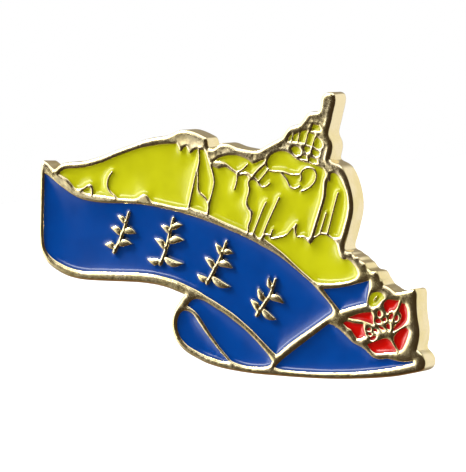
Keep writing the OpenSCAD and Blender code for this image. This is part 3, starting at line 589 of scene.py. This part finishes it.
def make_casting(face, verts, parts, plain_verts, plain_parts, floor_y):
    """The metal: rounded tops, the hollows' walls and floors, the sides and the back."""
    s = Sheet()
    used = sorted({i for f in parts["badge_body"] for i in f})
    flat = verts[used]
    d_in, _ = face.to_hollow(flat)
    d_out, _ = face.to_edge(flat)
    crown = CROWN * np.clip(1 - np.minimum(d_in, d_out) / CROWN_REACH, 0, 1) ** 2
    sand = step(d_out, *SAND_FROM_EDGE) * step(d_in, *SAND_FROM_HOLLOW) * step(flat[:, 1], *SAND_HEIGHT)
    top = face.front + fillet(d_in, LINE_ROUND) + fillet(d_out, EDGE_ROUND) + crown + SAND_DROP * sand
    for i, p, y, grit in zip(used, flat, top, sand):
        s.vertex(("top", i), (p[0], y, p[1]), sand=grit)
    worn = dict(zip(map(spot, face.loops[0]), softened(face.loops[0], BACK_WEAR)))
    owner = {}
    for name, faces in parts.items():
        for f in faces:
            for a, b in pairs(f):
                owner[a, b] = name
    for f in parts["badge_body"]:
        s.face(*[("top", i) for i in f])
        for a, b in pairs(f):
            beyond = owner.get((b, a))
            if beyond == "badge_body":
                continue
            if beyond is not None:
                for i in (a, b):
                    x, _, z = (c / MM for c in s.verts[s.at["top", i]])
                    s.vertex(("floor", spot(verts[i])), (x, floor_y, z))
                s.face(("top", b), ("top", a), ("floor", spot(verts[a])), ("floor", spot(verts[b])))
                continue
            for i in (a, b):
                x, y, z = (c / MM for c in s.verts[s.at["top", i]])
                out = worn.get(spot(verts[i]), verts[i])
                _, normal = face.to_edge(verts[i][None])
                foot = Vector((out[0], face.back - BACK_ROUND, out[1]))
                for k in range(1, SIDE_STEPS + 1):
                    s.vertex(("side", k, i), Vector((x, y, z)).lerp(foot, k / SIDE_STEPS))
                for k in range(1, ARC_STEPS + 1):
                    turn = math.pi / 2 * k / ARC_STEPS
                    inset = out + normal[0] * BACK_ROUND * (1 - math.cos(turn))
                    tag = ("back", spot(verts[i])) if k == ARC_STEPS else ("arc", k, i)
                    s.vertex(tag, (inset[0], face.back - BACK_ROUND * (1 - math.sin(turn)), inset[1]))
            ca, cb = side_column(a, verts), side_column(b, verts)
            for k in range(len(ca) - 1):
                s.face(cb[k], ca[k], ca[k + 1], cb[k + 1])
    for name, faces in plain_parts.items():
        if name is None:
            continue
        for f in faces:
            for i in f:
                p = plain_verts[i]
                s.vertex(("back", spot(p)), (p[0], face.back, p[1]), back=1)
                if name != "badge_body":
                    s.vertex(("floor", spot(p)), (p[0], floor_y, p[1]))
            s.face(*[("back", spot(plain_verts[i])) for i in reversed(f)])
            if name != "badge_body":
                s.face(*[("floor", spot(plain_verts[i])) for i in f])
    obj = s.object("casting", "badge")
    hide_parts("badge_body")
    return obj


def make_fill(face, name, verts, faces, plain_verts, plain_faces, slot):
    """One enamel fill: its surface climbs the walls round it and sags a little in the middle."""
    lo, hi = (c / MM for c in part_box(name))
    s = Sheet()
    used = sorted({i for f in faces for i in f})
    flat = verts[used]
    room, _ = face.to_any(flat)
    wall, _ = face.to_wall(flat)
    island, _ = face.to_island(flat)
    climb = np.maximum(MENISCUS * np.exp(-wall / MENISCUS_REACH),
                       MENISCUS * np.exp(-island / ISLAND_REACH))
    height = climb - SAG * (1 - np.exp(-wall / SAG_REACH))
    for i, p, h, r in zip(used, flat, height, room):
        s.vertex(("top", spot(verts[i])), (p[0], lo.y - h, p[1]), room=r)
    inside = {(a, b) for f in faces for a, b in pairs(f)}
    for f in faces:
        s.face(*[("top", spot(verts[i])) for i in f])
        for a, b in pairs(f):
            if (b, a) in inside:
                continue
            for i in (a, b):
                x, _, z = (c / MM for c in s.verts[s.at["top", spot(verts[i])]])
                s.vertex(("low", spot(verts[i])), (x, hi.y, z))
            a, b = spot(verts[a]), spot(verts[b])
            s.face(("top", b), ("top", a), ("low", a), ("low", b))
    for f in plain_faces:
        for i in f:
            p = plain_verts[i]
            s.vertex(("low", spot(p)), (p[0], hi.y, p[1]))
        s.face(*[("low", spot(plain_verts[i])) for i in reversed(f)])
    obj = s.object(name + "_fill", "badge")
    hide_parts(name)
    return obj


# ---- materials ---------------------------------------------------------------------------------
GOLD = (0.9, 0.78, 0.43, 1)
GOLD_PALE = (0.94, 0.83, 0.55, 1)
# Dark colour of the sand's pits; on the front it is partly painted shade, laid on more towards the right
GOLD_PIT_AND_SHADE = (0.32, 0.24, 0.11, 1)
SAND_FADE = (-6, 6, 1.0, 0.25)   # the sand weakens from one x to another: its strength at each
SAND_ROUGH = 0.42
GOLD_ROUGH = (0.17, 0.27)
BACK_SAND, BACK_PITS = 0.7, 0.15
PIT_SHADE_FADE = 0.8                   # how much fainter the pits are where the sand is strong, towards the left; so the pits darken the right more, painted shade
WAVE_DEPTH, GRAIN_DEPTH = 0.00006, 0.00004       # metres
# Enamels: the colour, and the deeper colour of its clouds and of the painted shade along its walls
ENAMELS = {
    "blue": ((0.0, 0.058, 0.33, 1), (0.0, 0.033, 0.2, 1)),
    "yellow": ((0.64, 0.655, 0.01, 1), (0.41, 0.41, 0.0, 1)),
    "red": ((0.68, 0.005, 0.003, 1), (0.4, 0.002, 0.002, 1)),
}
ENAMEL_ROUGH = (0.05, 0.12)
COAT, COAT_ROUGH = 0.5, 0.04
# Metals of the hardware: colour, tint and roughness
METALS = {
    "post_gold": ((0.86, 0.74, 0.44, 1), (0.76, 0.62, 0.34, 1), 0.2),
    "solder_tin": ((0.62, 0.6, 0.56, 1), (0.42, 0.4, 0.38, 1), 0.34),
    "spring_steel": ((0.66, 0.66, 0.66, 1), (0.5, 0.5, 0.5, 1), 0.2),
    "clutch_brass": ((0.84, 0.67, 0.33, 1), (0.7, 0.53, 0.24, 1), 0.22),
}
METAL_GRAIN = 6.0                # per millimetre
METAL_VARIES = 0.06              # how much the roughness varies


def gold_material():
    mat, t = shaded("gold_plating")
    place = t.place()
    front_sand, back = t.attribute("sand"), t.attribute("back")
    left = t.ramp(t.add("ShaderNodeSeparateXYZ", out=0, Vector=place), *SAND_FADE)
    sand = t.math("MAXIMUM", t.math("MULTIPLY", front_sand, left), t.math("MULTIPLY", back, BACK_SAND))
    patch = t.noise(place, 0.5, 2)
    grain = t.noise(place, 4.0, 3, 0.65)
    colour = t.mix(t.ramp(patch, 0.35, 0.65), GOLD, GOLD_PALE)
    # Real pits of the sand, and painted shade: on the front they darken the metal more towards the right
    pits_and_shade = t.math("MULTIPLY", front_sand, t.math("MULTIPLY_ADD", left, -PIT_SHADE_FADE, 1.0))
    pits_and_shade = t.math("MAXIMUM", pits_and_shade, t.math("MULTIPLY", back, BACK_PITS))
    colour = t.mix(t.math("MULTIPLY", t.ramp(grain, 0.4, 0.58, 1.0, 0.0), pits_and_shade), colour, GOLD_PIT_AND_SHADE)
    rough = t.math("ADD", t.math("MULTIPLY", sand, SAND_ROUGH), t.ramp(grain, 0.3, 0.7, *GOLD_ROUGH))
    wave = t.add("ShaderNodeBump", Height=t.noise(place, 1.1, 2), Strength=0.35, Distance=WAVE_DEPTH)
    depth = t.math("MULTIPLY_ADD", sand, 0.9, 0.06)
    fine = t.add("ShaderNodeBump", Height=grain, Strength=depth, Distance=GRAIN_DEPTH, Normal=wave)
    t.surface(Base_Color=colour, Metallic=1.0, Roughness=rough, Normal=fine)
    return mat


def enamel_material(name, base, deep_and_shade):
    mat, t = shaded(name)
    place = t.place()
    room = t.attribute("room")
    cloud = t.ramp(t.noise(place, 0.35, 2), 0.3, 0.7, 0.0, 0.35)
    # Painted shade: the enamel darkens towards the walls round it, over about 0.35 mm
    edge = t.ramp(room, 0.0, 0.35, 0.55, 0.0)
    colour = t.mix(t.math("MAXIMUM", cloud, edge), base, deep_and_shade)
    peel = t.add("ShaderNodeBump", Height=t.noise(place, 0.9, 2), Strength=0.3, Distance=0.00004)
    rough = t.ramp(t.noise(place, 2.0, 2), 0.3, 0.7, *ENAMEL_ROUGH)
    t.surface(Base_Color=colour, Roughness=rough, Normal=peel, Coat_Weight=COAT, Coat_Roughness=COAT_ROUGH)
    return mat


def metal_material(name, base, tint, rough):
    mat, t = shaded(name)
    place = t.place()
    grain = t.noise(place, METAL_GRAIN, 2)
    colour = t.mix(t.ramp(t.noise(place, 0.8, 3), 0.35, 0.65), base, tint)
    bump = t.add("ShaderNodeBump", Height=grain, Strength=0.12, Distance=0.00002)
    rough = t.ramp(grain, 0.3, 0.7, rough, rough + METAL_VARIES)
    t.surface(Base_Color=colour, Metallic=1.0, Roughness=rough, Normal=bump)
    return mat


def paint(obj, mat):
    if not obj.data.materials:
        obj.data.materials.append(mat)
    for slot in obj.material_slots:
        slot.material = mat


def make_badge():
    enamels = {colour: enamel_material(colour + "_enamel", *both) for colour, both in ENAMELS.items()}
    fills = [name for name in NODES if name.split("_")[0] in enamels]
    face = Face(fills)
    points = ring_points(face.loops, face.corners, face.to_any)
    points.append(grid_points(face.loops, face.to_any))
    verts, parts = face.split(points)
    plain_verts, plain_parts = face.split([])
    floor_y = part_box(fills[0])[1].y / MM
    body = make_casting(face, verts, parts, plain_verts, plain_parts, floor_y)
    paint(body, gold_material())
    for name in fills:
        colour = name.split("_")[0]
        areas = (verts, parts[name], plain_verts, plain_parts[name])
        paint(make_fill(face, name, *areas, colour + "_enamel"), enamels[colour])


# ---- posts and clutches, in millimetres behind the back ------------------------------------------
# Local places are (x, y, height above the back); a clutch may be turned about its post.
TURNS = {"left": 0, "right": 90}
POST_R, POST_LEN, POINT_LEN, HEAD_R, HEAD_T = 0.575, 8, 1.7, 1.1, 0.3
HEAD_ROUND, HEAD_FILLET = 0.08, 0.12
GROOVE_LEN, GROOVE_GAP = 0.5, 0.5        # its length, and its gap from the point
GROOVE_R, GROOVE_OUT = 0.25, 0.13        # radius of its hollow, and the centre's distance from the post
TIP_R, TIP_LEN, EASE = 0.12, 0.08, 0.02
SOLDER_TUCK = 0.06                       # how far the lumpy part of the solder is drawn in
BORE_R, CLOTH, SHEET, DISC_R = 0.625, 1.5, 0.4, 5.7
WIRE_R, CHEEK_IN = 0.3, 2.3
WIRE_BREAK, WIRE_END, SPRING_GAP = 0.06, 0.04, 0.1
LEG_STEPS, BEND_STEPS, WIRE_SIDES = 12, 20, 16
BEADS = ((1.55, 0), (1.75, 0.05), (1.95, 0), (4.3, 0), (4.45, 0.05), (4.6, 0))   # radius and height
TEATS, TEAT_CIRCLE = 6, 0.72             # number, and their circle as a share of the disc
TEAT_R, TEAT_FOOT, TEAT_DROP = 0.4, 0.42, 0.3
EDGE_BREAK = 0.055
BREAK_ANGLE, SMOOTH_ANGLE = math.radians(40), math.radians(32)


def to_world(side):
    """A function from a local place behind the back to a world place, both in millimetres."""
    lo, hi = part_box(side + "_post")
    mid = (lo + hi) / 2 / MM
    turn = math.radians(TURNS[side])

    def place(x, y, up):
        return (mid.x + x * math.cos(turn) - y * math.sin(turn), up,
                mid.z - x * math.sin(turn) - y * math.cos(turn))

    return place


def lathe(sheet, place, profile, tag, centre=(0, 0), steps=64):
    """Turns a profile of (radius, height) points round an axis; radius 0 closes an end."""
    def at(i, k):
        return (tag, i, 0 if profile[i][0] == 0 else k % steps)

    for i, (r, up) in enumerate(profile):
        for k in range(steps if r else 1):
            a = 2 * math.pi * k / steps
            sheet.vertex(at(i, k), place(centre[0] + r * math.cos(a), centre[1] + r * math.sin(a), up))
    for i in range(len(profile) - 1):
        for k in range(steps):
            ring = [at(i, k), at(i + 1, k), at(i + 1, k + 1), at(i, k + 1)]
            ring = [v for j, v in enumerate(ring) if v not in ring[:j]]
            if len(ring) > 2:
                sheet.face(*ring)


def arc(cx, cz, r, start, end, steps=6):
    """Points of a rounded corner in a profile; angles in degrees."""
    turn = [math.radians(start + (end - start) * i / steps) for i in range(steps + 1)]
    return [(cx + r * math.cos(a), cz + r * math.sin(a)) for a in turn]


def place_piece(sheet, name, node, body, mat):
    obj = sheet.object(name, body, sharp=35)
    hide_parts(node)
    paint(obj, mat)


def make_post(side, mat):
    s = Sheet()
    groove = POST_LEN - POINT_LEN - GROOVE_GAP - GROOVE_LEN
    profile = [(0, 0), (HEAD_R, 0)] + arc(HEAD_R - HEAD_ROUND, HEAD_T - HEAD_ROUND, HEAD_ROUND, 0, 90, 4)
    profile += arc(POST_R + HEAD_FILLET, HEAD_T + HEAD_FILLET, HEAD_FILLET, 270, 180, 4)
    profile += [(POST_R, groove - EASE), (POST_R - EASE, groove)]
    profile += arc(POST_R + GROOVE_OUT, groove + GROOVE_LEN / 2, GROOVE_R, 205, 155, 6)
    profile += [(POST_R - EASE, groove + GROOVE_LEN), (POST_R, groove + GROOVE_LEN + EASE)]
    for i in range(9):  # the point narrows slowly at first
        f = i / 8
        radius = POST_R + (TIP_R - POST_R) * f ** 1.25
        profile.append((radius, POST_LEN - POINT_LEN + (POINT_LEN - TIP_LEN) * f))
    profile += [(0.07, POST_LEN - EASE), (0, POST_LEN)]
    lathe(s, to_world(side), profile, "post", steps=48)
    place_piece(s, side + "_post_turned", side + "_post", "badge", mat)


def make_solder(side, mat):
    """A fillet of tin round the post's head, a little lumpy as it froze."""
    s = Sheet()
    place, steps = to_world(side), 72
    rings = [(HEAD_R, 0), (HEAD_R + 0.75, 0), (HEAD_R + 0.66, 0.05), (HEAD_R + 0.4, 0.12)]
    rings += [(HEAD_R + 0.15, 0.26), (HEAD_R - 0.12, 0.44), (POST_R + 0.34, 0.56), (POST_R + 0.14, 0.74)]
    rings += [(POST_R + 0.02, 0.98), (POST_R, 0.98)]
    for i, (r, up) in enumerate(rings):
        for k in range(steps):
            a = 2 * math.pi * k / steps
            lump = 0.05 * math.sin(3 * a + 1.3) + 0.035 * math.sin(5 * a + 0.4 + len(side))
            wide = lump * math.sin(math.pi * i / (len(rings) - 1))
            reach = r - SOLDER_TUCK + wide if 0 < i < len(rings) - 2 else r
            s.vertex((i, k), place(reach * math.cos(a), reach * math.sin(a),
                                   max(0, up + 0.5 * wide * (up > 0.1))))
    for i in range(len(rings)):
        for k in range(steps):
            j, n = (i + 1) % len(rings), (k + 1) % steps
            s.face((i, k), (j, k), (j, n), (i, n))
    place_piece(s, side + "_solder_fillet", side + "_solder", "badge", mat)


def make_disc(side, mat):
    """Stamped disc: a rolled rim, a pressed ring, a funnel round the hole and teats for the cloth."""
    s = Sheet()
    place, top = to_world(side), CLOTH + SHEET
    low = [(BORE_R, top - 0.02), (BORE_R, CLOTH + 0.2), (BORE_R + 0.12, CLOTH + 0.08)]
    low += [(BORE_R + 0.35, CLOTH)] + [(r, CLOTH + up) for r, up in BEADS]
    low += [(DISC_R - 0.55, CLOTH), (DISC_R - 0.3, CLOTH + 0.06), (DISC_R - 0.12, CLOTH + 0.18)]
    rim = arc(DISC_R - 0.16, CLOTH + 0.45, 0.16, -30, 120, 7)
    high = [(DISC_R - 0.42, top + 0.12), (DISC_R - 0.58, top + 0.03), (DISC_R - 0.75, top)]
    high += [(r, top + up) for r, up in reversed(BEADS)]
    high += [(BORE_R + 0.1, top), (BORE_R + 0.03, top - 0.005), (BORE_R, top - 0.02)]
    lathe(s, place, low + rim + high, "disc", steps=112)
    for i in range(TEATS):
        a = 2 * math.pi * (i + 0.5) / TEATS
        centre = (DISC_R * TEAT_CIRCLE * math.cos(a), DISC_R * TEAT_CIRCLE * math.sin(a))
        teat = [(0, CLOTH - TEAT_DROP)]
        for t in (0.35, 0.7, 1.05, 1.35):
            teat.append((TEAT_R * math.sin(t), CLOTH - TEAT_DROP + TEAT_DROP * (1 - math.cos(t))))
        teat += [(TEAT_FOOT, CLOTH + 0.05), (0, CLOTH + 0.1)]
        lathe(s, place, teat, ("teat", i), centre, 24)
    place_piece(s, side + "_disc_stamped", side + "_clutch_disc", side + "_clutch", mat)


def make_spring(side, mat):
    """Hairpin of wire on the disc, with a leg at each side of the post."""
    s = Sheet()
    place, leg = to_world(side), BORE_R + WIRE_R
    up, end = CLOTH + SHEET + WIRE_R, CHEEK_IN - SPRING_GAP
    bend = -(end - WIRE_R - leg)
    path = [(leg, end - WIRE_END + (bend - end) * i / LEG_STEPS) for i in range(LEG_STEPS)]
    for i in range(BEND_STEPS + 1):
        a = math.pi * i / BEND_STEPS
        path.append((leg * math.cos(a), bend - leg * math.sin(a)))
    path += [(-x, y) for x, y in reversed(path[:LEG_STEPS])]
    sizes = [WIRE_R] * len(path)
    path = [(path[0][0], end)] + path + [(path[-1][0], end)]
    sizes = [WIRE_R - WIRE_BREAK] + sizes + [WIRE_R - WIRE_BREAK]
    for i, ((x, y), r) in enumerate(zip(path, sizes)):
        (xa, ya), (xb, yb) = path[max(i - 1, 0)], path[min(i + 1, len(path) - 1)]
        run = math.hypot(xb - xa, yb - ya)
        nx, ny = (yb - ya) / run, -(xb - xa) / run
        for k in range(WIRE_SIDES):
            a = 2 * math.pi * k / WIRE_SIDES
            s.vertex((i, k), place(x + nx * r * math.cos(a), y + ny * r * math.cos(a),
                                   up + r * math.sin(a)))
    for i in range(len(path) - 1):
        for k in range(WIRE_SIDES):
            n = (k + 1) % WIRE_SIDES
            s.face((i, k), (i, n), (i + 1, n), (i + 1, k))
    s.face(*[(0, k) for k in reversed(range(WIRE_SIDES))])
    s.face(*[(len(path) - 1, k) for k in range(WIRE_SIDES)])
    place_piece(s, side + "_hairpin", side + "_spring", side + "_clutch", mat)


def make_stamping(node, body, mat):
    """A pressed sheet part: the CAD shape with its edges broken."""
    mesh = NODES[node].data.copy()
    mesh.name = node + "_pressed"
    mesh.materials.clear()
    work = bmesh.new()
    work.from_mesh(mesh)
    bmesh.ops.remove_doubles(work, verts=work.verts, dist=1e-7)
    bmesh.ops.dissolve_limit(work, angle_limit=math.radians(1), verts=work.verts, edges=work.edges)
    edges = [e for e in work.edges if len(e.link_faces) == 2 and e.calc_face_angle() > BREAK_ANGLE]
    bmesh.ops.bevel(work, geom=edges, offset=EDGE_BREAK * MM, offset_type="OFFSET", segments=2,
                    profile=0.6, affect="EDGES", clamp_overlap=True)
    work.to_mesh(mesh)
    work.free()
    mesh.polygons.foreach_set("use_smooth", [True] * len(mesh.polygons))
    mesh.set_sharp_from_angle(angle=SMOOTH_ANGLE)
    obj = bpy.data.objects.new(node + "_pressed", mesh)
    bpy.context.collection.objects.link(obj)
    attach(obj, body)
    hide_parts(node)
    paint(obj, mat)


def make_hardware():
    gold, tin, steel, brass = [metal_material(name, *look) for name, look in METALS.items()]
    for side in TURNS:
        make_post(side, gold)
        make_solder(side, tin)
        make_disc(side, brass)
        make_spring(side, steel)
        make_stamping(side + "_clutch_cage", side + "_clutch", brass)
        for wing in ("_wing_a", "_wing_b"):
            make_stamping(side + wing, side + wing, brass)


make_camera()
make_world()
make_floor()
make_lights()
make_badge()
make_hardware()
bpy.context.scene.view_settings.view_transform = "Standard"
